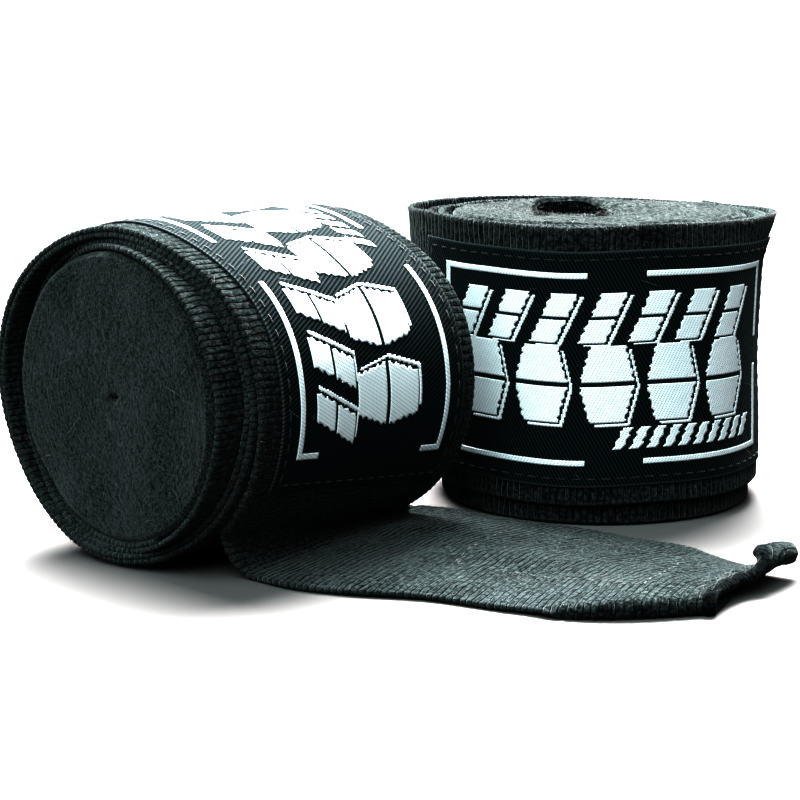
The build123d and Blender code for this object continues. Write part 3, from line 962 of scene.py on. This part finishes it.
def make_label(side, surface, start, low, turned):
    """Make one wrap's label: its twill band, the raised white weave and the stitches round it.

    The label covers surface(u, v) from start and low; turned is -1 where its rows read backwards
    along u with their tops towards v = 0.
    """
    base = HALF_THICK + 0.12

    def on_label(x, y, lift):
        """Return a point over the label: x along it and y up it, both from its centre."""
        u = start + LABEL_LENGTH / 2 + turned * x
        v = low + LABEL_WIDTH / 2 + turned * y
        return lifted(surface, u, v, base + lift)

    def label_surface(u, v):
        return lifted(surface, start + u, low + v, base + LABEL_THICK / 2)

    us = steps(0.0, LABEL_LENGTH, 0.5)
    flat = {"width": LABEL_WIDTH, "rows": 60, "thick": LABEL_THICK, "ribs": 0.0}
    band = strip(f"{side}_label_twill", label_surface, us, TWILL, 31, **flat)
    columns, rows = round(LABEL_LENGTH / MOTIF_CELL), round(LABEL_WIDTH / MOTIF_CELL)
    ci, cj = np.meshgrid(np.arange(columns) + 0.5, np.arange(rows) + 0.5, indexing="ij")
    mask = motif_mask(ci * MOTIF_CELL - LABEL_LENGTH / 2, cj * MOTIF_CELL - LABEL_WIDTH / 2)

    def corners(i, j, lift):
        x = i * MOTIF_CELL - LABEL_LENGTH / 2
        y = j * MOTIF_CELL - LABEL_WIDTH / 2
        puff = 0.02 * noise(stack(x, y), 0.6, 8)
        return on_label(x, y, LABEL_THICK - 0.02 + lift + puff), stack(x, y)[..., :2]

    weave = raised_cells(f"{side}_label_motif", mask, corners, 0.14, MOTIF)
    marks = rectangle(LABEL_LENGTH, LABEL_WIDTH, STITCH_MARGIN)
    seam = stitches(f"{side}_label_seam", marks, lambda x, y, h: on_label(x, y, LABEL_THICK + h))
    return band, weave, seam


# ---------------------------------------------------------------- stitches and fibres


STITCH_PITCH = 2.3
STITCH_LENGTH = 1.7
STITCH_RADIUS = 0.12


def rectangle(length, width, margin):
    """Return points spaced along a rectangle's border, and each one's heading."""
    half_x, half_y = length / 2 - margin, width / 2 - margin
    corners = np.array([[-half_x, -half_y], [half_x, -half_y], [half_x, half_y], [-half_x, half_y]])
    runs = []
    for a, b in zip(corners, np.roll(corners, -1, axis=0)):
        span = np.linalg.norm(b - a)
        count = int(span / STITCH_PITCH)
        share = (np.arange(count) + 0.5)[:, None] / count
        headings = np.repeat([(b - a) / span], count, axis=0)
        runs.append(np.concatenate([a + (b - a) * share, headings], axis=1))
    return np.concatenate(runs)


def stitches(name, marks, place, material=SEAM):
    """Make a row of stitches from marks (x, y, heading), each a thread that dips in at its ends."""
    share = np.linspace(-0.5, 0.5, 6)
    along = marks[:, None, :2] + marks[:, None, 2:4] * (share * STITCH_LENGTH)[None, :, None]
    height = 0.16 * (1 - (2 * share) ** 4) - 0.1
    paths = place(along[..., 0], along[..., 1], np.repeat(height[None], len(marks), axis=0))
    return threads(name, paths, STITCH_RADIUS, material, sides=6, taper=0.5)


FIBRE_POINTS = 5
FIBRE_DROOP = 0.5


def fibre_paths(rng, roots, outward, length):
    """Return curled fibre paths that start a little under each root."""
    count = len(roots)
    heading = unit(outward * 0.8 + rng.normal(size=(count, 3)) * 0.75)
    curl = rng.normal(size=(count, 3)) * FIBRE_DROOP
    size = length * rng.uniform(0.35, 1.0, (count, 1))
    share = np.linspace(0, 1, FIBRE_POINTS)
    run = heading[:, None] * share[None, :, None] + curl[:, None] * (share**2)[None, :, None]
    return roots[:, None] - outward[:, None] * 0.1 + run * size[:, None]


def side_roots(rng, count, surface, along, across):
    """Return where fibres start on a surface(u, v), over a span of u and one of v, and their headings."""
    u = rng.uniform(*along, count)
    v = rng.uniform(*across, count)
    outward = normals(surface, u, v)
    return surface(u, v) + outward * HALF_THICK, outward


def end_roots(rng, count, place, reach, axial, outward):
    """Return where fibres start on a roll's felted end, from one radius to another, and their headings."""
    angle = rng.uniform(0, 360, count)
    radius = np.sqrt(rng.uniform(reach[0] ** 2, reach[1] ** 2, count))
    return place(angle, np.full(count, axial), radius), np.tile(outward, (count, 1))


def keep_above_floor(piece):
    """Raise any vertex that lies under the floor up to it."""
    mesh = piece.data
    places = np.empty(len(mesh.vertices) * 3)
    mesh.vertices.foreach_get("co", places)
    places = places.reshape(-1, 3)
    places[:, 2] = np.maximum(places[:, 2], 0.0)
    mesh.vertices.foreach_set("co", places.ravel())
    mesh.update()
    return piece


# ---------------------------------------------------------------- hems, patches and thumb loops


HEM_HALF_WIDE = 1.1
HEM_HALF_TALL = 0.95
HEM_SIDES = 16
PATCH_ROWS = 60
PATCH_STEP = 0.45
THREAD_PITCH = 0.85


def hem(name, surface, end, inward):
    """Make an overlocked hem across a surface(u, v) at u = end: a flattened tube, ridged by its thread.

    inward is 1 where the strip runs on from its end with u, and -1 where it runs back.
    """
    v = steps(0.0, STRIP_WIDTH, HEM_STEP)
    ends = np.full(len(v), end)
    centre_line = surface(ends, v)
    along = unit(centre_line - surface(ends + 0.3 * inward, v))
    normal = normals(surface, ends + 0.2 * inward, v)
    turn = 2 * np.pi * (np.arange(HEM_SIDES) + 0.5) / HEM_SIDES
    count = len(centre_line)
    run = np.concatenate([[0.0], np.cumsum(np.linalg.norm(np.diff(centre_line, axis=0), axis=1))])
    wrap = 1 + 0.16 * np.abs(np.sin(np.pi * (run[:, None] / THREAD_PITCH + turn[None] / (2 * np.pi))))
    wrap = wrap + 0.08 * noise(stack(run[:, None], turn[None] * 2.0), 0.6, 3)
    place = np.arange(count)
    end = np.minimum(1, 0.45 + 2.0 * np.minimum(place, count - 1 - place) / 5)[:, None]
    wide = HEM_HALF_WIDE * np.cos(turn) * wrap * end
    tall = HEM_HALF_TALL * np.sin(turn) * wrap * end
    rings = centre_line[:, None] + along[:, None] * wide[..., None]
    rings = rings + normal[:, None] * tall[..., None]
    uvs = np.zeros((count, HEM_SIDES + 1, 2))
    uvs[..., 0] = run[:, None]
    return keep_above_floor(loft(name, rings, uvs, HEM, ladder=True))


def patch(name, surface, length, width, material, seed):
    """Make a closed patch of tape with tufted faces.  surface(u, v) is its middle."""
    place, up = section_places(width, PATCH_ROWS, PATCH_THICK)
    u, v = np.meshgrid(steps(0.0, length, PATCH_STEP), place, indexing="ij")
    tuft = np.abs(noise(stack(u, v, seed), 0.7, seed)) + 0.5 * noise(stack(u, v, seed), 0.4, seed + 1)
    height = up[None] * (PATCH_THICK / 2 + 0.16 * tuft)
    rings = surface(u, v) + normals(surface, u, v) * height[..., None]
    last = np.concatenate([v, v[:, :1]], axis=1)
    uvs = np.stack([np.repeat(u[:, :1], last.shape[1], axis=1), last], axis=-1)
    return loft(name, rings, uvs, material, ladder=True)


def patch_seam(name, surface, length, width, lift):
    """Make the stitches that hold a patch, seen on a surface(u, v) at a lift off its middle."""
    marks = rectangle(length, width, STITCH_MARGIN)

    def on_patch(x, y, height):
        return lifted(surface, x + length / 2, y + width / 2, lift + np.sign(lift) * height)

    return stitches(name, marks, on_patch, material=PATCH_SEAM)


def thumb_loop(name, place, length, height, low, spread, seed):
    """Make the strip's thumb loop, folded flat and stood in a roll's eye, and return its cut size too.

    place(x, y, axial) puts a point that is x along the fold and y across it.  spread is half the gap
    between the fold's two sides, and the cut size is a width and a length.
    """
    straight = length - 2 * spread
    total = 2 * straight + math.pi * spread

    def surface(u, v):
        turn = np.clip((u - straight) / spread, 0, math.pi)
        back = np.maximum(u - straight - math.pi * spread, 0)
        x = np.minimum(u, straight) + spread * np.sin(turn) - back
        wave = 0.15 * noise(stack(u, v, 2.0), 4.0, seed)
        return place(x - straight / 2, wave - spread * np.cos(turn), low + v)

    us = steps(0.0, total, 0.4)
    fold = strip(name, surface, us, RIBBED, seed, height, rows=40, thick=0.7)
    return fold, (height, total)


# ---------------------------------------------------------------- building each wrap


def declare(piece, body, nodes, flat=None):
    """Attach a piece to the body it rides on, and hide the CAD nodes it stands for.

    body is a body's name, or a function that bakes the piece's transform instead.  flat, a sheet's flat
    width and length in millimetres, is not used.
    """
    if nodes:
        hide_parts(*nodes)
    if callable(body):
        body(piece)
    else:
        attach(piece, body)


def blend_tail(piece):
    """Bake the transform of a piece that runs from the lying roll onto the tail into its mesh; nothing
    bends it and it rides on no body.
    """
    start = tail_point(TAIL_HINGE_AT - 0.4, 0.0, 0.8) * MM
    end = tail_point(TAIL_HINGE_AT + 5.0, 0.0, 0.8) * MM
    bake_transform(piece)


def blend_tab(piece):
    """Bake the transform of a piece that runs from the standing roll onto its closure tab into its mesh;
    nothing bends it and it rides on no body.
    """
    start = standing_point(TAB_HINGE_ANGLE - 0.5, STANDING_HEIGHT / 2, STANDING_MIDDLE) * MM
    end = standing_point(TAB_HINGE_ANGLE - 14.0, STANDING_HEIGHT / 2, STANDING_MIDDLE) * MM
    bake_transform(piece)


def build_roll(side, wound, rim, tacks, in_eye, fold_size, seed):
    """Build what both rolls have: the core, the turns round it, and the thumb loop in its eye.

    rim is the turns' surface, length, width and rows.  tacks is the loop's stitches, as places along
    the fold, places up it, its face and a shift up.  fold_size is the fold's length, height, low end
    and half thickness.
    """
    body = f"{side}_wrap"
    declare(keep_above_floor(wound), body, [f"{side}_inner_turns"])
    surface, length, width, rows = rim
    us = steps(0.0, length, RIM_STEP)
    turns = keep_above_floor(strip(f"{side}_rim_turns", surface, us, RIBBED, seed, width, rows))
    declare(turns, body, [], (width, length))
    fold, flat = thumb_loop(f"{side}_loop_fold", in_eye, *fold_size, seed + 10)
    declare(fold, body, [f"{side}_thumb_loop"], flat)
    along, up, face, shift = tacks
    marks = np.array([[x, y, 1.0, 0.0] for x in along for y in up])
    sewn = stitches(f"{side}_loop_tacks", marks, lambda x, y, h: in_eye(x, face + h, y + shift))
    declare(sewn, body, [f"{side}_thumb_loop_stitching"])
    return wound


def build_label(side, surface, start, low, turned):
    """Build one wrap's label on its outer turn."""
    band, weave, seam = make_label(side, surface, start, low, turned)
    body = f"{side}_wrap"
    declare(weave, body, [])
    declare(seam, body, [f"{side}_label_stitching"])
    flat = (LABEL_WIDTH, LABEL_LENGTH)
    declare(band, body, [f"{side}_label"], flat)


def build_patch(side, kind, body, surface, sewn_surface, size, lift, seed):
    """Build a hook or loop patch on a surface(u, v), and its stitches where they show."""
    length, width = size
    material = HOOKS if kind == "hook" else LOOPS
    tape = keep_above_floor(patch(f"{side}_{kind}_tape", surface, length, width, material, seed))
    seam = patch_seam(f"{side}_{kind}_seam", sewn_surface, length, width, lift)
    declare(seam, body, [f"{side}_{kind}_patch_stitching"])
    nodes = [f"{side}_{kind}_patch"]
    declare(tape, body, nodes, (width, length))


def build_lying_roll():
    """Build the lying wrap's core, the turns round it and the thumb loop in its eye."""
    heading = math.radians(LYING_EYE[2])

    def in_eye(x, y, axial):
        across = LYING_X + x * math.cos(heading) - y * math.sin(heading)
        up = LYING_RADIUS * LYING_FLAT + x * math.sin(heading) + y * math.cos(heading)
        return stack(across, LYING_Y + axial, up)

    radius, width, eye = LYING_CORE_RADIUS, LYING_WIDTH, LYING_EYE
    look = {"pinch": 0.14, "seed": 50, "worn": 0.1, "dish": 0.4, "felt": FELT}
    wound = core("lying_core", lying_point, radius, width, eye, **look)
    length = 2 * math.pi * LYING_UNDER * RIM_TURNS
    rim = (rim_surface, length, LYING_RIM_WIDTH, 14)
    tacks = ((-1.2, 1.0), (8.0, 22.0, 36.0), 0.78, 3.0)
    return build_roll("lying", wound, rim, tacks, in_eye, (5.6, 44.0, 3.0, 0.4), 60)


def build_lying_strip(wound):
    """Build the lying wrap's last turn and tail as one strip, the hem on its end, and its label.

    The label's rows run up the roll from its lower end.
    """
    us = steps(LYING_START, LYING_END, STRIP_STEP)
    outer = keep_above_floor(strip("lying_outer_strip", lying_surface, us, RIBBED, 80))
    binding = hem("lying_hem", lying_surface, LYING_END, -1)
    declare(binding, "loose_tail", ["lying_end_hem"])
    nodes = ["lying_outer_turn", "lying_tail"]
    flat = (STRIP_WIDTH, LYING_END - LYING_START)
    declare(outer, blend_tail, nodes, flat)
    lower_end = -math.radians(LYING_LABEL_START - LEAVE_ANGLE) * LYING_MIDDLE
    build_label("lying", lying_surface, lower_end - LABEL_LENGTH, LABEL_INSET, -1)
    return outer


def build_lying_patches():
    """Build the loop patch on the far side of the roll and the hook patch under the tail."""
    low = (STRIP_WIDTH - LOOP_PATCH_WIDTH) / 2
    start = -math.radians(LYING_PATCH_START - LEAVE_ANGLE) * LYING_MIDDLE
    hook_start = TAIL_HINGE_AT + 1.5
    hook_low = 12.3

    def loop_surface(u, v):
        return lifted(lying_surface, start - PATCH_LENGTH + u, low + v, PATCH_LIFT)

    def hook_surface(u, v):
        return lifted(tail_surface, hook_start + u, hook_low + v, -PATCH_LIFT)

    def tail_top(u, v):
        return tail_surface(hook_start + u, hook_low + v)

    size = (PATCH_LENGTH, LOOP_PATCH_WIDTH)
    build_patch("lying", "loop", "lying_wrap", loop_surface, loop_surface, size, 0.5, 90)
    size = (HOOK_LENGTH, HOOK_PATCH_WIDTH)
    build_patch("lying", "hook", blend_tail, hook_surface, tail_top, size, SEAM_LIFT, 91)


def build_standing_roll():
    """Build the standing wrap's core, the turns round it and the thumb loop in its eye."""
    heading = math.radians(STANDING_EYE[2])
    middle_x = STANDING_X + EYE_PLACE * EYE_SHIFT[0]
    middle_y = STANDING_Y + EYE_PLACE * EYE_SHIFT[1]

    def in_eye(x, y, axial):
        across = x * math.cos(heading) - y * math.sin(heading)
        along = x * math.sin(heading) + y * math.cos(heading)
        return stack(middle_x + across, middle_y + along, axial)

    radius, height, eye = standing_core_radius, STANDING_HEIGHT, STANDING_EYE
    look = {"pinch": 1.0, "seed": 150, "worn": 0.2, "dish": 0.2, "felt": WORN_FELT, "lean": 1.7}
    wound = core("standing_core", upright, radius, height, eye, **look)
    length = math.radians(STANDING_RIM_SWEEP) * STANDING_UNDER
    rim = (standing_rim_surface, length, STANDING_RIM_WIDTH, 16)
    tacks = ((-2.0, 0.0, 2.0), (10.0, 24.0, 40.0), 1.28, 0.0)
    return build_roll("standing", wound, rim, tacks, in_eye, (8.6, 47.6, 1.5, 0.9), 160)


def build_standing_turn(wound):
    """Build the standing wrap's last turn and its label."""
    us = steps(0.0, STANDING_TURN_LENGTH, STRIP_STEP)
    outer = strip("standing_outer_strip", standing_surface, us, RIBBED, 180)
    flat = (STRIP_WIDTH, STANDING_TURN_LENGTH)
    declare(outer, "standing_wrap", ["standing_outer_turn"], flat)
    start = math.radians(STANDING_LABEL_START - TAB_HINGE_ANGLE + 360) * STANDING_MIDDLE
    low = STRIP_WIDTH - LABEL_INSET - LABEL_WIDTH
    build_label("standing", standing_surface, start, low, 1)
    return outer


def build_closure():
    """Build the closure tab, its hem, and the hook and loop patches it closes with."""
    us = steps(0.0, TAB_LENGTH, STRIP_STEP)
    tab = strip("standing_tab", tab_surface, us, RIBBED, 190)
    binding = hem("standing_hem", tab_surface, 0.0, 1)
    declare(binding, "closure_tab", ["standing_end_hem"])
    nodes = ["standing_closure_tab"]
    flat = (STRIP_WIDTH, TAB_LENGTH)
    declare(tab, blend_tab, nodes, flat)
    hook_low = (STRIP_WIDTH - HOOK_PATCH_WIDTH) / 2
    hook_start = 4.5
    loop_low = STANDING_HEIGHT - (UNDER_TURN_WIDTH + LOOP_PATCH_WIDTH) / 2

    def hook_surface(u, v):
        return lifted(tab_surface, hook_start + u, hook_low + v, -PATCH_LIFT)

    def tab_outside(u, v):
        return tab_surface(hook_start + u, hook_low + v)

    def loop_surface(u, v):
        angle = TAB_END_ANGLE + 3.0 + np.degrees(u / STANDING_UNDER)
        height = loop_low + v
        return standing_point(angle, height, STANDING_UNDER + standing_bulge(angle, height))

    size = (PATCH_LENGTH, HOOK_PATCH_WIDTH)
    build_patch("standing", "hook", "closure_tab", hook_surface, tab_outside, size, SEAM_LIFT, 191)
    size = (PATCH_LENGTH, LOOP_PATCH_WIDTH)
    build_patch("standing", "loop", "standing_wrap", loop_surface, loop_surface, size, 0.4, 192)


def build_fibres():
    """Build the short fuzz on the felted faces and edges, and the odd pale lint fibre."""
    rng = np.random.default_rng(7)
    toward, up = np.array([0.0, -1.0, 0.0]), np.array([0.0, 0.0, 1.0])
    reach = (2.0, LYING_CORE_RADIUS)
    rim, hem_line = (STRIP_WIDTH - 0.7, STRIP_WIDTH), (LYING_END - 1.5, LYING_END)
    tail, corner = (BEND_LENGTH + 28.0, LYING_END - 9.0), (STRIP_WIDTH - 1.0, STRIP_WIDTH)
    lying, standing = lying_surface, standing_surface
    # Each piece's body, count, length, radius, material, and where its roots are.
    fibres = {
        "lying_end_fuzz": ("lying_wrap", 5000, 0.34, 0.012, FUZZ, lying_point, reach, 0.1, toward),
        "lying_end_lint": ("lying_wrap", 26, 3.0, 0.03, LINT, lying_point, (2.0, 22.0), -0.1, toward),
        "lying_far_fuzz": ("lying_wrap", 3600, 0.34, 0.012, FUZZ, lying_point, reach, LYING_WIDTH, -toward),
        "lying_rim_fuzz": ("lying_wrap", 2200, 0.6, 0.018, FUZZ, lying, (LYING_START, 0.0), (0.0, 1.2)),
        "lying_side_lint": ("lying_wrap", 22, 3.5, 0.03, LINT, lying, (-90.0, -8.0), (0.0, 40.0)),
        "lying_tail_fuzz": ("loose_tail", 3000, 0.6, 0.018, FUZZ, lying, tail, (9.0, 45.0)),
        "lying_hem_lint": ("loose_tail", 60, 2.2, 0.03, LINT, lying, hem_line, (9.0, 40.0)),
        "standing_end_fuzz": ("standing_wrap", 5200, 0.6, 0.016, FUZZ, upright, (6.0, 24.0), 0.1, up),
        "standing_end_lint": ("standing_wrap", 20, 2.6, 0.03, LINT, upright, (6.0, 27.0), -0.1, up),
        "standing_rim_fuzz": ("standing_wrap", 2600, 0.6, 0.018, FUZZ, standing, (0.0, 128.0), rim),
        "standing_side_lint": ("standing_wrap", 14, 3.0, 0.03, LINT, standing, (20.0, 100.0), (0.0, 46.0)),
        "standing_corner_lint": ("closure_tab", 40, 4.6, 0.045, LINT, tab_surface, (-1.0, 8.0), corner),
    }
    for name, (body, count, length, radius, material, *where) in fibres.items():
        find = side_roots if len(where) == 3 else end_roots
        paths = fibre_paths(rng, *find(rng, count, *where), length)
        piece = keep_above_floor(threads(name, paths, radius, material))
        declare(piece, body, [])


# ---------------------------------------------------------------- camera, lights and floor


LENS = 94.5
CAMERA_PLACE = (0.22106, -0.25473, 0.08418)
CAMERA_TILT = 79.48
CAMERA_HEADING = 44.2
CONTRAST_GAMMA = 0.55
HORIZON_GREY = (0.2, 0.2, 0.2)
ZENITH_GREY = (1.0, 1.0, 1.0)
TOP_FROM = (-0.45, 0.4, 1.0)
TOP_POWER = 54.0
TOP_SPREAD = 45.0
TOP_TINT = (1.0, 0.96, 0.95)
FRONT_FROM = (0.3, -0.8, 0.95)
FRONT_POWER = 5.6
FRONT_SPREAD = 50.0
FRONT_TINT = (0.88, 1.0, 1.0)
FLOOR_HALF = 20000.0
FLOOR_LOW = -0.02
FLOOR_TONES = (0.138, 0.142)
BOUNCE_TONE = 0.025
WALL_RADIUS = 15000.0
WALL_HEIGHT = 6000.0
WALL_SIDES = 64
WALL_GLOW = 1.2


def place_camera():
    """Look across both wraps from just above the lying one, a long way off."""
    data = bpy.data.cameras.new("view")
    data.lens = LENS
    data.sensor_width = 36.0
    camera = bpy.data.objects.new("view", data)
    camera.location = CAMERA_PLACE
    camera.rotation_euler = (math.radians(CAMERA_TILT), 0.0, math.radians(CAMERA_HEADING))
    bpy.context.scene.collection.objects.link(camera)
    bpy.context.scene.camera = camera


def soft_sun(name, source, power, spread, tint):
    """Add a very soft distant light that shines from a direction."""
    data = bpy.data.lights.new(name, "SUN")
    data.energy = power
    data.color = tint
    data.angle = math.radians(spread)
    light = bpy.data.objects.new(name, data)
    light.rotation_euler = Vector(source).to_track_quat("Z", "Y").to_euler()
    bpy.context.scene.collection.objects.link(light)


def light_studio():
    """Light the pair with a bright soft top light from behind and a weak cool one from the front."""
    scene = bpy.context.scene
    scene.view_settings.view_transform = "Standard"
    scene.view_settings.gamma = CONTRAST_GAMMA
    world = bpy.data.worlds.new("studio")
    world.use_nodes = True
    tree = world.node_tree
    place = tree.nodes.new("ShaderNodeTexCoord")
    split = tree.nodes.new("ShaderNodeSeparateXYZ")
    ramp = tree.nodes.new("ShaderNodeValToRGB")
    ramp.color_ramp.elements[0].color = (*HORIZON_GREY, 1.0)
    ramp.color_ramp.elements[1].color = (*ZENITH_GREY, 1.0)
    tree.links.new(place.outputs["Generated"], split.inputs[0])
    tree.links.new(split.outputs["Z"], ramp.inputs[0])
    tree.links.new(ramp.outputs[0], tree.nodes["Background"].inputs["Color"])
    scene.world = world
    soft_sun("top_light", TOP_FROM, TOP_POWER, TOP_SPREAD, TOP_TINT)
    soft_sun("front_light", FRONT_FROM, FRONT_POWER, FRONT_SPREAD, FRONT_TINT)


def lay_floor():
    """Lay a wide floor, pale to the camera but dark to bounced light, and a pale wall far round it.

    Only the camera sees the wall: it hides the horizon and lights nothing.
    """
    shade = Shade("floor_paint")
    grain = shade.noise(30.0, 2.0)
    seen = shade.colour(grain, (FLOOR_TONES[0],) * 3, (FLOOR_TONES[1],) * 3)
    tone = shade.colour(shade.add("LightPath"), (BOUNCE_TONE,) * 3, seen)
    shade.set(Base_Color=tone, Roughness=1.0, Specular_IOR_Level=0.0)
    half, low = FLOOR_HALF, FLOOR_LOW
    corners = [(-half, -half, low), (half, -half, low), (half, half, low), (-half, half, low)]
    floor = make_piece("floor", np.array(corners), [[0, 1, 2, 3]], None, shade.material)
    floor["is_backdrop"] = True
    glow = Shade("wall_paint")
    white = (1.0, 1.0, 1.0, 1.0)
    glow.set(Base_Color=(0.8, 0.8, 0.8, 1.0), Emission_Color=white, Emission_Strength=WALL_GLOW)
    turn = np.radians(np.linspace(0, 360, WALL_SIDES, endpoint=False))[:, None]
    height = np.array([-50.0, WALL_HEIGHT])
    rings = stack(WALL_RADIUS * np.cos(turn), WALL_RADIUS * np.sin(turn), height)
    quads = ring_quads(WALL_SIDES, 2, True)[0][::2]
    wall = make_piece("wall", rings.reshape(-1, 3), quads, None, glow.material)
    wall.visible_shadow = wall.visible_diffuse = wall.visible_glossy = False
    wall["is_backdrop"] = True


def write_size():
    """Gather the CAD's bounds and the finished object's as plain lists, which are then dropped; nothing is
    written.
    """
    [[list(corner) for corner in box] for box in (cad_bounds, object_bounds())]


place_camera()
light_studio()
lay_floor()
lying_core = build_lying_roll()
lying_strip = build_lying_strip(lying_core)
build_lying_patches()
standing_core = build_standing_roll()
standing_turn = build_standing_turn(standing_core)
build_closure()
build_fibres()
write_size()
